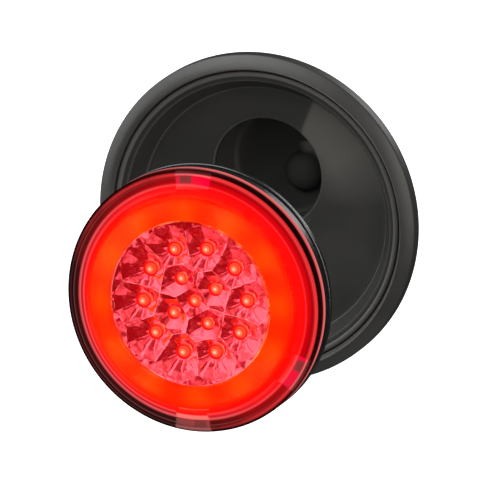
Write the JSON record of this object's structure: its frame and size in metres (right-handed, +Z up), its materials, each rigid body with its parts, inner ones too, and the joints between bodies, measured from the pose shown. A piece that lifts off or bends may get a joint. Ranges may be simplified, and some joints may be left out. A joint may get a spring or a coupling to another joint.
{
  "type": "trailer tail light",
  "caption": "Round sealed red LED tail light with a glowing outer ring, pulled forward out of its closed-back rubber mounting grommet.",
  "frame": {"origin": "centre of the round panel hole, on the panel's front face, which the back of the grommet's flange rests on", "axes": "+Z up; the light faces -Y; +Y goes back through the panel along the hole's axis; +X is to the right seen from in front"},
  "size_m": [0.1366, 0.1269, 0.1391],
  "materials": {
    "black_rubber": "smooth satin-gloss black rubber",
    "black_plastic": "moulded black plastic",
    "red_lens": "polished clear red plastic",
    "light_guide": "frosted red light guide, lit",
    "white_plastic": "white moulded plastic",
    "bright_metal_film": "vacuum-metallised plastic",
    "led_resin": "clear resin, lit",
    "tinned_metal": "tinned metal",
    "board": "green solder mask",
    "zinc_steel": "zinc-plated steel",
    "chip_plastic": "moulded epoxy",
    "can_aluminium": "drawn aluminium can",
    "potting_resin": "black epoxy potting",
    "plated_brass": "turned brass"
  },
  "bodies": {
    "grommet": {"grommet": "black_rubber"},
    "lamp": {"housing": "black_plastic", "outer_lens": "red_lens", "glow_ring": "light_guide", "ring_reflector": "white_plastic", "centre_reflector": "bright_metal_film", "centre_leds": "led_resin", "led_leads": "tinned_metal", "ring_leds": "white_plastic", "ring_led_windows": "led_resin", "circuit_board": "board", "board_screws": "zinc_steel", "driver_chips": "chip_plastic", "rectifier_diodes": "chip_plastic", "chip_resistors": "chip_plastic", "smoothing_capacitors": "can_aluminium", "surge_suppressor": "chip_plastic", "potting_compound": "potting_resin", "ground_pin": "plated_brass", "stop_turn_pin": "plated_brass", "tail_pin": "plated_brass", "pin_solder": "tinned_metal"}
  },
  "joints": [
    {"name": "lamp_pull", "type": "slide", "parent": "grommet", "child": "lamp", "axis": [0, -0.9678, -0.2516], "range_m": [-0.067, 0]}
  ]
}
